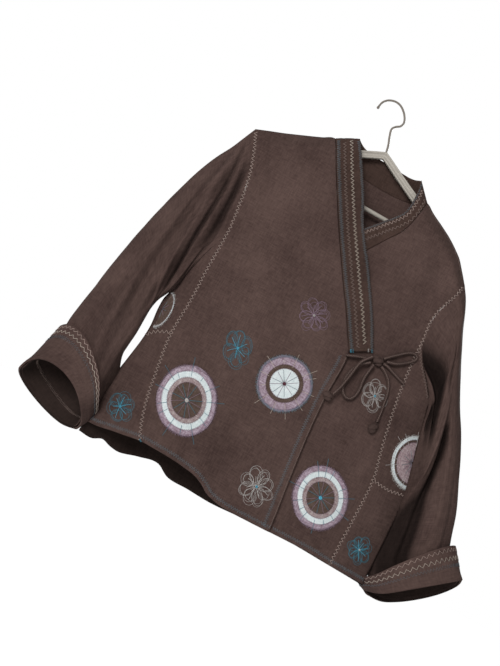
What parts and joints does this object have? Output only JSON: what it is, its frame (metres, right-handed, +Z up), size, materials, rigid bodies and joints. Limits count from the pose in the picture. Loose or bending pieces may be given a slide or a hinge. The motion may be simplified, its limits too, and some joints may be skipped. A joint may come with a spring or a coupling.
{
  "type": "kimono jacket on a hanger",
  "caption": "Brown wrap jacket with a crossed neck band, side tie, wide slanting sleeves with turned cuffs and appliqued rings and flowers, hung open on a plain hanger.",
  "frame": {"origin": "inner top of the hanger's hook, where it sits on a rail", "axes": "+Z up, +X towards the wearer's left (the picture's right), the front faces -Y"},
  "size_m": [0.8238, 0.1196, 0.774],
  "materials": {
    "cloth": "matt, open plain weave",
    "band_cloth": "matt, folded double and stitched",
    "ring_cloth": "matt, worn pale prints in rings",
    "tie_cloth": "matt, rolled",
    "hanger_plastic": "smooth moulded",
    "hook_wire": "bright wire"
  },
  "bodies": {
    "root": {"front_over": "cloth", "front_under": "cloth", "side_front_upper_right": "cloth", "side_front_lower_right": "cloth", "side_front_upper_left": "cloth", "side_front_lower_left": "cloth", "back": "cloth", "sleeve_right": "cloth", "sleeve_left": "cloth", "cuff_right": "cloth", "cuff_left": "cloth", "neck_band_over": "band_cloth", "neck_band_under": "band_cloth", "neck_band_back": "band_cloth", "ring_patch_hem_right": "ring_cloth", "ring_patch_wrap": "ring_cloth", "ring_patch_hem_left": "ring_cloth", "half_patch_left": "ring_cloth", "half_patch_right": "ring_cloth", "tie_band_run": "tie_cloth", "tie_side_run": "tie_cloth", "tie_loop_right": "tie_cloth", "tie_loop_left": "tie_cloth", "tie_tail_left": "tie_cloth", "tie_tail_right": "tie_cloth", "tie_knot": "tie_cloth", "tail_knot_left": "tie_cloth", "tail_knot_right": "tie_cloth", "hanger_arms": "hanger_plastic", "hanger_bar": "hanger_plastic", "hook": "hook_wire", "hook_tip": "hook_wire"}
  },
  "joints": []
}
